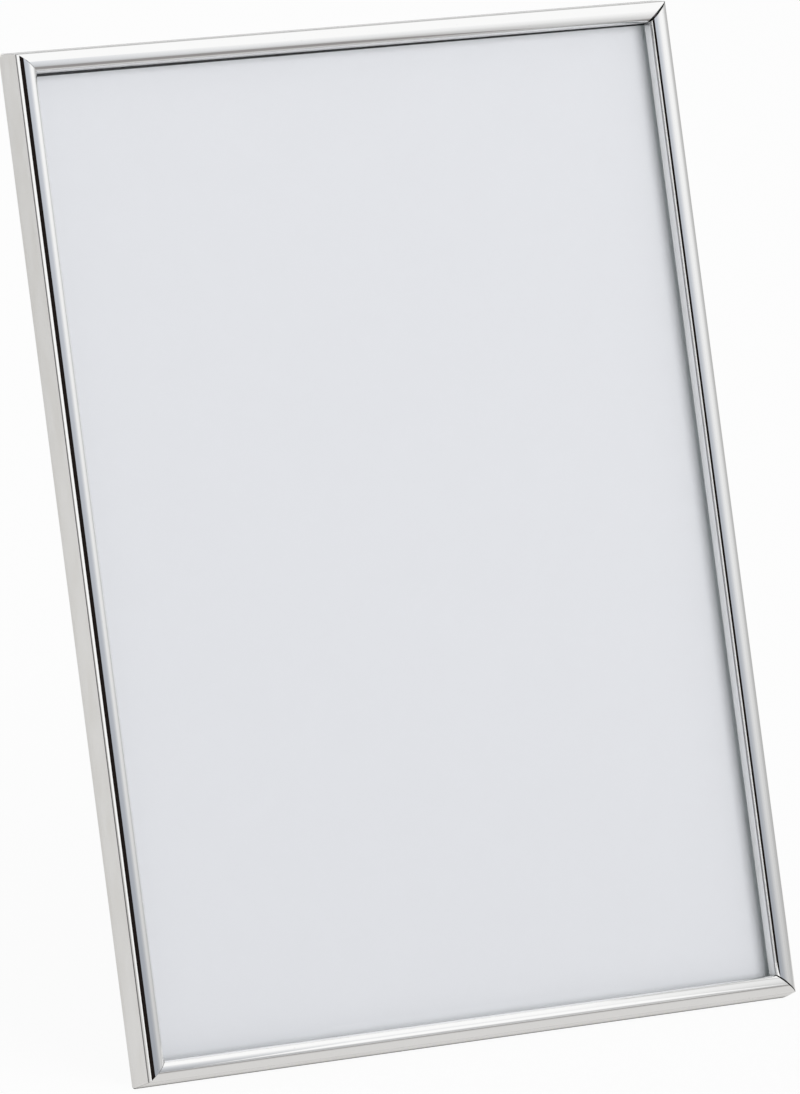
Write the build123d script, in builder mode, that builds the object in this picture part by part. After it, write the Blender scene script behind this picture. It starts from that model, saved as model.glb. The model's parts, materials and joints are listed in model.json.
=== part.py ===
from build123d import *
from math import cos, radians, sin, sqrt
import os

# A slim silver metal photo frame for one upright 13 x 18 cm print, standing on its easel strut.
# Millimetres, +Z up, standing on z = 0, with the glass facing -Y and X to the right.

# The print and the stack of sheets behind the front of the rails
PRINT_W = 130.0
PRINT_H = 180.0
PANE_PLAY = 0.2
GLASS_T = 1.5
SHEET_T = 0.2
BOARD_T = 2.0
BOARD_CORNER_R = 1.5

# Section of the rails: a half-round bead, hollow for the corner keys, over an outer wall that flares back
# to a ridge and turns in behind it
LOADING_PLAY = 0.2
LIP_REACH = 1.0
LIP_T = 0.5
WALL_T = 0.8
RIDGE_OUT = 0.8
RIDGE_DEPTH = 5.2
REAR_EDGE_T = 0.4
BEAD_W = 3.6
BEAD_RISE = 1.27
BEAD_SHELL = 0.6
REVEAL = 2.4
FLANGE_T = 0.7
GROOVE_W = 0.3
GROOVE_DEPTH = 0.2

# L-shaped keys pushed into the hollow beads at the mitres
KEY_LEG = 14.0
KEY_PLAY = 0.05
KEY_CHAMFER = 0.4

# Stance: how far the frame leans back, and how far the strut stands open
LEAN = 15.4
STRUT_OPEN = 24.0

# Turn buttons that hold the board under the rear lips of the long rails, set in from the ends
BUTTON_T = 0.4
BUTTON_R = 3.2
BUTTON_TIP_R = 2.2
BUTTON_REACH = 9.0
BUTTON_HOLD = 0.6
BUTTON_INSET = 40.0
BUTTON_PLAY = 0.05
LIP_PLAY = 0.1

# Rivets, with a domed head on the rear side and a countersunk tail on the front side
SHANK_R = 0.9
RIVET_PLAY = 0.05
HEAD_R = 1.7
HEAD_H = 0.8
HEAD_ROUND = 0.7
TAIL_R = 1.3

# Strut and its two-leaf hinge, whose pin is this far below the top of the frame
HINGE_DROP = 56.0
PIN_R = 0.75
PIN_PLAY = 0.05
PIN_HEAD_R = 1.1
PIN_HEAD_T = 0.5
LEAF_T = 0.5
LEAF_H = 13.0
LEAF_CORNER_R = 1.5
KNUCKLE_GAP = 0.15
MIDDLE_KNUCKLE_W = 10.0
END_KNUCKLE_W = 7.0
NOTCH_ROOM = 0.3
HEEL_T = 0.6
HEEL_OFFSET = 0.3
STOP_PLAY = 0.05
LEAF_STANDOFF = 0.1
HINGE_RIVET_PITCH = 15.0
HINGE_RIVET_U = 8.0
STRUT_T = 2.5
STRUT_TOP_W = 34.0
STRUT_FOOT_W = 48.0
STRUT_TOP_R = 4.0
STRUT_TOP_ROOM = 0.5

# Wall hangers for upright and sideways use
HANGER_DROP = 22.0
HANGER_INSET = 20.0
WIRE_R = 0.6
WIRE_PLAY = 0.1
RING_BASE = 14.0
RING_RISE = 11.0
RING_BEND_R = 1.5
STRAP_W = 6.5
STRAP_L = 9.0
STRAP_T = 0.4
STRAP_RIVET = 5.2
STRAP_STANDOFF = 0.05
STRAP_END_R = 2.0

# Sizes that follow from the ones above
OUTER_W = PRINT_W + 2 * (LOADING_PLAY + LIP_REACH + WALL_T)
OUTER_H = PRINT_H + 2 * (LOADING_PLAY + LIP_REACH + WALL_T)
PANE_W = PRINT_W - 2 * PANE_PLAY
PANE_H = PRINT_H - 2 * PANE_PLAY
BOARD_FRONT = -REVEAL - GLASS_T - SHEET_T
BOARD_REAR = BOARD_FRONT - BOARD_T
RAIL_DEPTH = -BOARD_REAR + BUTTON_PLAY + BUTTON_T + LIP_PLAY + LIP_T
REAR_EDGE_AT = WALL_T - REAR_EDGE_T
BEAD_R = ((BEAD_W / 2) ** 2 + BEAD_RISE**2) / (2 * BEAD_RISE)
KEY_ROOM_BACK = FLANGE_T - REVEAL
KEY_ROOM_FRONT = sqrt(BEAD_R**2 - (BEAD_W / 2 - WALL_T) ** 2) - BEAD_R + BEAD_RISE - BEAD_SHELL
KEY_ROOM_H = KEY_ROOM_FRONT - KEY_ROOM_BACK
BUTTON_PITCH = OUTER_H - 2 * BUTTON_INSET
HINGE_U = OUTER_H - HINGE_DROP
KNUCKLE_R = PIN_R + PIN_PLAY + LEAF_T
PIN_N = BOARD_REAR - LEAF_STANDOFF - KNUCKLE_R
HINGE_W = MIDDLE_KNUCKLE_W + 2 * (KNUCKLE_GAP + END_KNUCKLE_W)
STRUT_FRONT = KNUCKLE_R - LEAF_T
STRUT_REAR = STRUT_FRONT - STRUT_T
BARREL_R = WIRE_R + WIRE_PLAY + STRAP_T
BAR_STANDOFF = BARREL_R + STRAP_STANDOFF

# Where the frame stands: the ridge of its bottom rail and the strut's foot are on z = 0,
# and the middle of its depth is on y = 0
lean = radians(LEAN)
strut_lean = radians(LEAN - STRUT_OPEN)
ridge_z = -RIDGE_OUT * cos(lean) - RIDGE_DEPTH * sin(lean)
rear_edge_z = REAR_EDGE_AT * cos(lean) - RAIL_DEPTH * sin(lean)
frame_z = -min(ridge_z, rear_edge_z)
front_y = BEAD_W / 2 * sin(lean) - (BEAD_RISE - BEAD_R) * cos(lean) - BEAD_R
pin_y = HINGE_U * sin(lean) - PIN_N * cos(lean)
pin_z = frame_z + HINGE_U * cos(lean) + PIN_N * sin(lean)
strut_length = (pin_z + STRUT_REAR * sin(strut_lean)) / cos(strut_lean)
foot_y = pin_y - STRUT_REAR * cos(strut_lean) - strut_length * sin(strut_lean)
ridge_y = (OUTER_H + RIDGE_OUT) * sin(lean) + RIDGE_DEPTH * cos(lean)
crown_y = (OUTER_H - REAR_EDGE_AT) * sin(lean) + RAIL_DEPTH * cos(lean)
frame_y = -(front_y + max(foot_y, ridge_y, crown_y)) / 2


def leaning_plane(y, z, angle):
    """A plane across the frame: its x is the frame's width, its y runs up, its z faces the viewer."""
    return Plane(origin=(0, y, z), x_dir=(1, 0, 0), z_dir=(0, -cos(angle), sin(angle)))


def node(builder, name):
    """Labels a finished piece and writes it to its own file."""
    builder.part.label = name
    export_step(builder.part, f"parts/{name}.step")


front = leaning_plane(frame_y, frame_z, lean)
strut_plane = leaning_plane(frame_y + pin_y, pin_z, strut_lean)
board_rear_plane = front.offset(BOARD_REAR)
across = front.x_dir
up = front.y_dir
outward = front.z_dir

# The four turn buttons sit in pairs on the long sides: place of the rivet and the way the tip points
button_x = OUTER_W / 2 - WALL_T - LIP_REACH + BUTTON_HOLD - BUTTON_REACH
button_spots = {
    f"turn_button_{level}_{hand}": (side * button_x, OUTER_H / 2 + height * BUTTON_PITCH / 2, side)
    for level, height in (("upper", 1), ("lower", -1))
    for hand, side in (("left", -1), ("right", 1))
}
button_rivet_spots = [(x, u) for x, u, side in button_spots.values()]
hinge_rivet_spots = [(side * HINGE_RIVET_PITCH / 2, HINGE_U + HINGE_RIVET_U) for side in (-1, 1)]

# Each hanger: the middle of its bar on the board, and the way its ring points
hanger_spots = {
    "top": (0.0, OUTER_H - HANGER_DROP, up),
    "side": (OUTER_W / 2 - HANGER_INSET, OUTER_H / 2, across),
}
hanger_rivet_spots = [
    (0.0, OUTER_H - HANGER_DROP - STRAP_RIVET),
    (OUTER_W / 2 - HANGER_INSET - STRAP_RIVET, OUTER_H / 2),
]

os.makedirs("parts", exist_ok=True)


def mitred_rail(name, middle, inward, length):
    """One mitred length of the rolled profile, whose section stands at the middle of its bead's outer edge."""
    along = inward.cross(outward)
    section = Plane(origin=front.from_local_coords(middle), x_dir=inward, z_dir=along)
    with BuildPart() as rail:
        with BuildSketch(section):
            with BuildLine():
                Polyline(
                    (REAR_EDGE_AT, -RAIL_DEPTH),
                    (-RIDGE_OUT, -RIDGE_DEPTH),
                    (0, -GROOVE_W),
                    (GROOVE_DEPTH, -GROOVE_W / 2),
                    (0, 0),
                )
                ThreePointArc((0, 0), (BEAD_W / 2, BEAD_RISE), (BEAD_W, 0))
                Polyline(
                    (BEAD_W, 0),
                    (BEAD_W - GROOVE_DEPTH, -GROOVE_W / 2),
                    (BEAD_W, -GROOVE_W),
                    (BEAD_W, -REVEAL),
                    (WALL_T, -REVEAL),
                    (WALL_T, LIP_T - RAIL_DEPTH),
                    (WALL_T + LIP_REACH, LIP_T - RAIL_DEPTH),
                    (WALL_T + LIP_REACH, -RAIL_DEPTH),
                    (REAR_EDGE_AT, -RAIL_DEPTH),
                )
            make_face()
            with Locations((BEAD_W / 2, KEY_ROOM_BACK + KEY_ROOM_H / 2)):
                Rectangle(BEAD_W - 2 * WALL_T, KEY_ROOM_H, mode=Mode.SUBTRACT)
        extrude(amount=length / 2 + RIDGE_OUT, both=True)
        for end in (-1, 1):
            corner = section.origin + along * (end * length / 2)
            split(bisect_by=Plane(origin=corner, z_dir=along * end + inward), keep=Keep.BOTTOM)
    node(rail, name)


mitred_rail("rail_bottom", (0, 0, 0), up, OUTER_W)
mitred_rail("rail_top", (0, OUTER_H, 0), -up, OUTER_W)
mitred_rail("rail_left", (-OUTER_W / 2, OUTER_H / 2, 0), across, OUTER_H)
mitred_rail("rail_right", (OUTER_W / 2, OUTER_H / 2, 0), -across, OUTER_H)

# Corner keys, one in each pair of mitred hollow beads
key_outer = WALL_T + KEY_PLAY
key_inner = BEAD_W - WALL_T - KEY_PLAY
key_tip = WALL_T + KEY_LEG
for level, corner_u, rise in (("top", OUTER_H, -1), ("bottom", 0, 1)):
    for hand, corner_x, run in (("left", -OUTER_W / 2, 1), ("right", OUTER_W / 2, -1)):
        outline = [
            (key_outer, key_outer),
            (key_tip - KEY_CHAMFER, key_outer),
            (key_tip, key_outer + KEY_CHAMFER),
            (key_tip, key_inner - KEY_CHAMFER),
            (key_tip - KEY_CHAMFER, key_inner),
            (key_inner, key_inner),
            (key_inner, key_tip - KEY_CHAMFER),
            (key_inner - KEY_CHAMFER, key_tip),
            (key_outer + KEY_CHAMFER, key_tip),
            (key_outer, key_tip - KEY_CHAMFER),
        ]
        with BuildPart() as key:
            with BuildSketch(front.offset(KEY_ROOM_BACK + KEY_PLAY)):
                with BuildLine():
                    Polyline(*[(corner_x + run * a, corner_u + rise * b) for a, b in outline], close=True)
                make_face()
            extrude(amount=KEY_ROOM_H - 2 * KEY_PLAY)
        node(key, f"corner_key_{level}_{hand}")

# Glass, print and board, stacked behind the beads and loaded from the rear
with BuildPart() as glass_pane:
    with BuildSketch(front.offset(-REVEAL)):
        with Locations((0, OUTER_H / 2)):
            Rectangle(PANE_W, PANE_H)
    extrude(amount=-GLASS_T)
node(glass_pane, "glass_pane")

with BuildPart() as print_sheet:
    with BuildSketch(front.offset(-REVEAL - GLASS_T)):
        with Locations((0, OUTER_H / 2)):
            Rectangle(PANE_W, PANE_H)
    extrude(amount=-SHEET_T)
node(print_sheet, "print_sheet")

board_front_plane = front.offset(BOARD_FRONT)
with BuildPart(board_front_plane) as back_board:
    with BuildSketch(board_front_plane):
        with Locations((0, OUTER_H / 2)):
            RectangleRounded(PANE_W, PANE_H, BOARD_CORNER_R)
    extrude(amount=-BOARD_T)
    with Locations(*button_rivet_spots, *hinge_rivet_spots, *hanger_rivet_spots):
        CounterSinkHole(SHANK_R + RIVET_PLAY, TAIL_R + RIVET_PLAY)
node(back_board, "back_board")


def rivets(name, plane, spots, grip):
    """Rivets through a stack of the given thickness, whose front face is the plane."""
    front_down = (Align.CENTER, Align.CENTER, Align.MAX)
    with BuildPart(plane) as group:
        with Locations(*spots):
            Cylinder(SHANK_R, grip, align=front_down)
            Cone(SHANK_R, TAIL_R, TAIL_R - SHANK_R, align=front_down)
        with Locations(*[(x, u, -grip) for x, u in spots]):
            Cylinder(HEAD_R, HEAD_H, align=front_down)
        rims = group.edges().filter_by(GeomType.CIRCLE)
        fillet(rims.group_by(Axis(plane.origin, plane.z_dir))[0], HEAD_ROUND)
    node(group, name)


rivets("button_rivets", board_front_plane, button_rivet_spots, BOARD_T + BUTTON_T + 2 * BUTTON_PLAY)
rivets("hinge_board_rivets", board_front_plane, hinge_rivet_spots, BOARD_T + LEAF_T)
rivets("hanger_rivets", board_front_plane, hanger_rivet_spots, BOARD_T + STRAP_T)

# Turn buttons, each a stamped tongue that swivels on its rivet
for name, (x, u, side) in button_spots.items():
    seat = Plane(
        origin=front.from_local_coords((x, u, BOARD_REAR - BUTTON_PLAY)), x_dir=across * side, z_dir=outward
    )
    with BuildPart() as turn_button:
        with BuildSketch(seat):
            Circle(BUTTON_R)
            with Locations((BUTTON_REACH - BUTTON_TIP_R, 0)):
                Circle(BUTTON_TIP_R)
            make_hull()
            Circle(SHANK_R + RIVET_PLAY, mode=Mode.SUBTRACT)
        extrude(amount=-BUTTON_T)
    node(turn_button, name)

# Hinge leaf on the board: a plate with a knuckle at each end, notched clear of the middle knuckle
notch_top = KNUCKLE_R + NOTCH_ROOM
end_knuckle_at = MIDDLE_KNUCKLE_W / 2 + KNUCKLE_GAP + END_KNUCKLE_W / 2
pin_section = Plane(origin=front.from_local_coords((0, HINGE_U, PIN_N)), x_dir=up, z_dir=across)
with BuildPart() as hinge_leaf_board:
    with BuildSketch(board_rear_plane) as board_leaf_outline:
        with Locations((0, HINGE_U + LEAF_H / 2)):
            Rectangle(HINGE_W, LEAF_H)
        fillet(board_leaf_outline.vertices().sort_by(Axis.Y)[-2:], LEAF_CORNER_R)
        with Locations((0, HINGE_U + notch_top / 2)):
            Rectangle(MIDDLE_KNUCKLE_W + 2 * KNUCKLE_GAP, notch_top, mode=Mode.SUBTRACT)
        with Locations(*hinge_rivet_spots):
            Circle(SHANK_R + RIVET_PLAY, mode=Mode.SUBTRACT)
    extrude(amount=-LEAF_T)
    for end in (-1, 1):
        with BuildSketch(pin_section.offset(end * end_knuckle_at)):
            Circle(KNUCKLE_R)
            Circle(PIN_R + PIN_PLAY, mode=Mode.SUBTRACT)
        extrude(amount=END_KNUCKLE_W / 2, both=True)
node(hinge_leaf_board, "hinge_leaf_board")

# Hinge pin with a flat head at each end
with BuildPart() as hinge_pin:
    with BuildSketch(pin_section):
        Circle(PIN_R)
    extrude(amount=HINGE_W / 2, both=True)
    for end in (-1, 1):
        with BuildSketch(pin_section.offset(end * HINGE_W / 2)):
            Circle(PIN_HEAD_R)
        extrude(amount=end * PIN_HEAD_T)
node(hinge_pin, "hinge_pin")

# Hinge leaf on the strut: a plate, the middle knuckle and a heel that stops the strut when it is open
pin_to_leaf = -PIN_N + BOARD_REAR - LEAF_T
open_angle = radians(STRUT_OPEN)
heel_length = (pin_to_leaf - STOP_PLAY + HEEL_OFFSET * cos(open_angle)) / sin(open_angle)
strut_section = Plane(origin=strut_plane.origin, x_dir=strut_plane.y_dir, z_dir=across)
strut_rivet_spots = [(side * HINGE_RIVET_PITCH / 2, -HINGE_RIVET_U) for side in (-1, 1)]
with BuildPart() as hinge_leaf_strut:
    with BuildSketch(strut_plane.offset(KNUCKLE_R)) as strut_leaf_outline:
        with Locations((0, -notch_top - (LEAF_H - notch_top) / 2)):
            Rectangle(HINGE_W, LEAF_H - notch_top)
        fillet(strut_leaf_outline.vertices().sort_by(Axis.Y)[:2], LEAF_CORNER_R)
        with Locations((0, -notch_top / 2)):
            Rectangle(MIDDLE_KNUCKLE_W, notch_top)
    extrude(amount=-LEAF_T)
    with BuildSketch(strut_section):
        Circle(KNUCKLE_R)
        with Locations(((heel_length + PIN_R) / 2, -HEEL_OFFSET - HEEL_T / 2)):
            Rectangle(heel_length - PIN_R, HEEL_T)
        Circle(PIN_R + PIN_PLAY, mode=Mode.SUBTRACT)
    extrude(amount=MIDDLE_KNUCKLE_W / 2, both=True)
    with Locations(strut_plane.offset(KNUCKLE_R)):
        with Locations(*strut_rivet_spots):
            CounterSinkHole(SHANK_R + RIVET_PLAY, TAIL_R + RIVET_PLAY)
node(hinge_leaf_strut, "hinge_leaf_strut")

# Strut board, flared towards its foot, which is cut level with the table
strut_top = -KNUCKLE_R - STRUT_TOP_ROOM
with BuildPart() as strut:
    with BuildSketch(strut_plane.offset(STRUT_FRONT)) as strut_outline:
        with BuildLine():
            Polyline(
                (-STRUT_TOP_W / 2, strut_top),
                (STRUT_TOP_W / 2, strut_top),
                (STRUT_FOOT_W / 2, -strut_length - STRUT_T),
                (-STRUT_FOOT_W / 2, -strut_length - STRUT_T),
                close=True,
            )
        make_face()
        fillet(strut_outline.vertices().sort_by(Axis.Y)[-2:], STRUT_TOP_R)
        with Locations(*strut_rivet_spots):
            Circle(SHANK_R + RIVET_PLAY, mode=Mode.SUBTRACT)
    extrude(amount=-STRUT_T)
    split(bisect_by=Plane.XY, keep=Keep.TOP)
node(strut, "strut")

rivets("hinge_strut_rivets", strut_plane.offset(KNUCKLE_R), strut_rivet_spots, LEAF_T + STRUT_T)

# Hangers: a folded strap riveted to the board, and a wire ring that swings in its barrel
for name, (x, u, pointing) in hanger_spots.items():
    seat = Plane(
        origin=front.from_local_coords((x, u, BOARD_REAR)), x_dir=pointing.cross(-outward), z_dir=-outward
    )
    bar_section = Plane(origin=seat.from_local_coords((0, 0, BAR_STANDOFF)), z_dir=seat.x_dir)
    with BuildPart() as strap:
        with BuildSketch(seat) as strap_outline:
            with Locations((0, -STRAP_L / 2)):
                Rectangle(STRAP_W, STRAP_L)
            fillet(strap_outline.vertices().sort_by(Axis.Y)[:2], STRAP_END_R)
            with Locations((0, -STRAP_RIVET)):
                Circle(SHANK_R + RIVET_PLAY, mode=Mode.SUBTRACT)
        extrude(amount=STRAP_T)
        with BuildSketch(bar_section):
            Circle(BARREL_R)
            Circle(WIRE_R + WIRE_PLAY, mode=Mode.SUBTRACT)
        extrude(amount=STRAP_W / 2, both=True)
    node(strap, f"hanger_strap_{name}")

    with BuildPart() as ring:
        with BuildLine(seat.offset(BAR_STANDOFF)) as loop:
            FilletPolyline(
                (-RING_BASE / 2, 0), (RING_BASE / 2, 0), (0, RING_RISE), radius=RING_BEND_R, close=True
            )
        with BuildSketch(Plane(origin=loop.line @ 0, z_dir=loop.line % 0)):
            Circle(WIRE_R)
        sweep()
    node(ring, f"hanger_ring_{name}")
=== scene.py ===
import json
from math import atan2, cos, pi, radians, sin, sqrt

import bpy
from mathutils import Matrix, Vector
from mathutils.geometry import tessellate_polygon


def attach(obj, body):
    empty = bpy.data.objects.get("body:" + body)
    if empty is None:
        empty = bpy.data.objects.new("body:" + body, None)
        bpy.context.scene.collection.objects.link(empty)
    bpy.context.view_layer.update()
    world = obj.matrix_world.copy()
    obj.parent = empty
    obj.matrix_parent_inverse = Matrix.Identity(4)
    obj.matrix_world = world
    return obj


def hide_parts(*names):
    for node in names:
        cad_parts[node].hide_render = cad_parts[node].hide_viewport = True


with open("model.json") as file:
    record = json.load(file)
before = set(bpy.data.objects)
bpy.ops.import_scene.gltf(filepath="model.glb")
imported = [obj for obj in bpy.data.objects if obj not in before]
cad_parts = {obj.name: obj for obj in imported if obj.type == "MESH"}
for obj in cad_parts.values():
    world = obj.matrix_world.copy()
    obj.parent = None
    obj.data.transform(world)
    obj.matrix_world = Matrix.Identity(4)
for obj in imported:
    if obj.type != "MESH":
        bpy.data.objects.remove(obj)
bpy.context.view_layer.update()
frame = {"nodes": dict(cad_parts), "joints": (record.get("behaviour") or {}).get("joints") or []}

# Rails: four mitred lengths of one steel strip, rolled to a half-round bead over a side wall that flares back
# to a ridge, and plated bright. The bead is hollow for the corner keys, and the turn buttons that hold the
# board in go under a lip at the rear.
MM = 0.001
OUTER_W, OUTER_H = 134 * MM, 184 * MM
RAIL_DEPTH, WALL_T, REVEAL = 7.15 * MM, 0.8 * MM, 2.4 * MM
RIDGE_OUT, RIDGE_DEPTH, REAR_EDGE_T = 0.8 * MM, 5.2 * MM, 0.4 * MM
BEAD_W, BEAD_RISE, BEAD_SHELL = 3.6 * MM, 1.27 * MM, 0.6 * MM
BEAD_R = ((BEAD_W / 2) ** 2 + BEAD_RISE**2) / (2 * BEAD_RISE)
GROOVE_W, GROOVE_DEPTH = 0.3 * MM, 0.2 * MM
LIP_REACH, LIP_T, FLANGE_T = 1.0 * MM, 0.5 * MM, 0.7 * MM
RIDGE_R, EDGE_R = 0.1 * MM, 0.06 * MM
RIDGE_CORNER, BEAD_CORNER = 1, 4
# GROOVE_SHADE is painted shade that darkens the grooves beside the bead; EDGE_WEAR and CUT_WEAR dull the
# rounded edges and the eased mitre ends.
EDGE_WEAR, GROOVE_SHADE, CUT_WEAR = 0.15, 0.6, 0.3
# The ridge's painted shadow reaches this far up the side wall, in these steps, fading with this power.
RIDGE_SHADE_W, RIDGE_SHADE_STEPS, RIDGE_SHADE_FALL = 3.2 * MM, 4, 3
BEAD_STEPS, EDGE_STEPS = 48, 4
CUT_EASE, GAP_SWEEP = 0.05 * MM, radians(125)
RIDGE_TURN_R, RIDGE_TURN_STEPS = 0.5 * MM, 5
RIDGE_TURNS = [radians(45 + 45 * step / RIDGE_TURN_STEPS) for step in range(RIDGE_TURN_STEPS + 1)]
BOARD_REAR = -6.1 * MM
BUTTON_INSET = 40 * MM
# Painted shade and wear of each rail: its width at the bead's outer and inner edge, then how dark the groove
# and ridge are.
# The groove's darkening is painted shade in the crease. The ridge's is a painted shadow, darkest on the
# bottom rail where it meets the table.
BOTTOM_SHADE_AND_WEAR, TOP_SHADE_AND_WEAR = (0.03 * MM, 0.1 * MM, 0.0, 1.0), (0.25 * MM, 0.03 * MM, 0.3, 0.0)
LEFT_SHADE_AND_WEAR, RIGHT_SHADE_AND_WEAR = (0.08 * MM, 0.3 * MM, 0.6, 0.06), (0.2 * MM, 0.04 * MM, 0.6, 0.0)
BOTTOM_GAPS, TOP_GAPS = (0.0, 0.4 * MM), (0.7 * MM, 0.0)

joints = {joint["name"]: joint for joint in frame["joints"]}
across = Vector((1, 0, 0))
outward = Vector(joints["turn_lower_left"]["axis"]).normalized()
up = outward.cross(across)
lower_pivot = Vector(joints["turn_lower_left"]["pos_m"])
foot = lower_pivot - across * lower_pivot.x - up * BUTTON_INSET - outward * BOARD_REAR


def on_frame(x, u, n=0.0):
    """A point by its place across, up and out of the front of the frame, from the lower edge's middle."""
    return foot + across * x + up * u + outward * n


class Wire:
    """A socket in a node tree, so that a finish or a rule can be written as sums on sockets."""

    def __init__(self, tree, socket=None):
        self.tree, self.socket = tree, socket

    def add(self, kind, settings=None, inputs=None, out=0):
        """A new node: its settings come first, then the values or wires of its sockets."""
        made = self.tree.nodes.new(kind)
        for name, value in (settings or {}).items():
            if name == "stops":
                ramp = made.color_ramp.elements
                while len(ramp) < len(value):
                    ramp.new(1.0)
                for stop, (at, colour) in zip(ramp, value):
                    stop.position, stop.color = at, (*colour, 1.0)
            elif name == "items":
                while len(made.index_switch_items) < value:
                    made.index_switch_items.new()
            else:
                setattr(made, name, value)
        for name, value in (inputs or {}).items():
            if isinstance(value, Wire):
                self.tree.links.new(value.socket, made.inputs[name])
            else:
                made.inputs[name].default_value = value
        return None if out is None else Wire(self.tree, made.outputs[out])

    def maths(self, operation, *terms):
        return self.add("ShaderNodeMath", {"operation": operation}, dict(enumerate(terms)))

    def __add__(self, other):
        return self.maths("ADD", self, other)

    def __sub__(self, other):
        return self.maths("SUBTRACT", self, other)

    def __rsub__(self, other):
        return self.maths("SUBTRACT", other, self)

    def __mul__(self, other):
        return self.maths("MULTIPLY", self, other)

    def __truediv__(self, other):
        return self.maths("DIVIDE", self, other)

    __radd__ = __add__
    __rmul__ = __mul__

    def step(self, low, high):
        """0 below low and 1 above high, with a smooth rise between them."""
        settings = {"interpolation_type": "SMOOTHSTEP"}
        return self.add("ShaderNodeMapRange", settings, {0: self, 1: low, 2: high})

    def tint(self, colour, other):
        """Goes from one colour to another as this value goes from 0 to 1."""
        colours = [(*tone, 1.0) if isinstance(tone, tuple) else tone for tone in (colour, other)]
        settings = {"data_type": "RGBA", "clamp_factor": True}
        return self.add("ShaderNodeMix", settings, {0: self, 6: colours[0], 7: colours[1]}, out=2)

    def noise(self, where, scale, detail=2.0, rough=0.5):
        """Cloudy noise with this many patches to a metre."""
        return self.add(
            "ShaderNodeTexNoise",
            {"noise_dimensions": "3D"},
            {"Vector": where, "Scale": scale, "Detail": detail, "Roughness": rough},
        )

    def stretched(self, where, scales):
        """Coordinates scaled unevenly, so that a pattern is drawn out one way."""
        return self.add("ShaderNodeMapping", {"vector_type": "POINT"}, {"Vector": where, "Scale": scales})

    def bump(self, height, distance, strength=1.0):
        sockets = {"Height": height, "Distance": distance, "Strength": strength}
        return self.add("ShaderNodeBump", None, sockets)


def new_finish(name):
    """An empty material, and the wire that adds nodes to it."""
    material = bpy.data.materials.new(name)
    material.use_nodes = True
    material.node_tree.nodes.clear()
    return material, Wire(material.node_tree)


def surface(wire, shader):
    """Ends a finish with its shader."""
    wire.add("ShaderNodeOutputMaterial", None, {"Surface": shader}, out=None)


def principled(wire, **sockets):
    """The main shader, with socket names written with _ for a space."""
    named = {name.replace("_", " "): value for name, value in sockets.items()}
    return wire.add("ShaderNodeBsdfPrincipled", None, named)


def bright_plate():
    """Mirror plating over rolled strip: hairlines along the rail, faint clouds, painted shade in the grooves,
    along the ridge and at the bead's edges, and worn, duller edges.
    """
    material, wire = new_finish("bright_plate")
    along = wire.add("ShaderNodeUVMap", {"uv_map": "rolled"})
    dull = wire.add("ShaderNodeAttribute", {"attribute_name": "dull"}, out=2)
    plain = wire.add("ShaderNodeAttribute", {"attribute_name": "side_wall"}, out=2)
    hairlines = wire.noise(wire.stretched(along, (60.0, 9000.0, 1.0)), 1.0, 3.0, 0.6)
    clouds = wire.noise(wire.stretched(along, (90.0, 300.0, 1.0)), 1.0, 2.0)
    specks = wire.noise(wire.stretched(along, (1500.0, 1500.0, 1.0)), 1.0, 1.0).step(0.74, 0.8)
    tone = (plain * clouds.step(0.35, 0.75)).tint((0.95, 0.95, 0.945), (0.9, 0.895, 0.88))
    # Painted shade: the colour darkens in the grooves, along the ridge and at the bead's edges, where the
    # plate is also rougher.
    tone = dull.tint(tone, (0.2, 0.195, 0.19))
    tone = (specks * 0.25).tint(tone, (0.5, 0.49, 0.47))
    rough = 0.04 + hairlines * 0.025 + clouds * 0.015 + plain * 0.18 + dull * 0.3
    normal = wire.bump(hairlines, 0.0000001)
    surface(wire, principled(wire, Base_Color=tone, Metallic=1.0, Roughness=rough, Normal=normal))
    return material


def cut_steel():
    """The sawn ends of the strip inside the mitres: raw, dark and scored."""
    material, wire = new_finish("cut_steel")
    where = wire.add("ShaderNodeTexCoord", out=3)
    scores = wire.noise(wire.stretched(where, (900.0, 4000.0, 4000.0)), 1.0, 3.0)
    tone = scores.tint((0.07, 0.068, 0.065), (0.2, 0.195, 0.19))
    surface(wire, principled(wire, Base_Color=tone, Metallic=0.7, Roughness=0.45 + scores * 0.3))
    return material


def rounded_corner(before, corner, after, radius):
    """Points and normals of a small arc that eases one corner of a section, walked clockwise."""
    into, out = (corner - before).normalized(), (after - corner).normalized()
    turn = atan2(into.x * out.y - into.y * out.x, into.dot(out))
    reach = radius * abs(sin(turn / 2) / cos(turn / 2))
    side = 1 if turn < 0 else -1
    start = corner - into * reach
    centre = start + Vector((into.y, -into.x)) * radius * side
    first = Vector((-into.y, into.x))
    arc = []
    for step in range(EDGE_STEPS + 1):
        angle = turn * step / EDGE_STEPS
        right, rise = cos(angle), sin(angle)
        normal = Vector((first.x * right - first.y * rise, first.x * rise + first.y * right))
        arc.append((centre + normal * radius * side, normal))
    return arc


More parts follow.
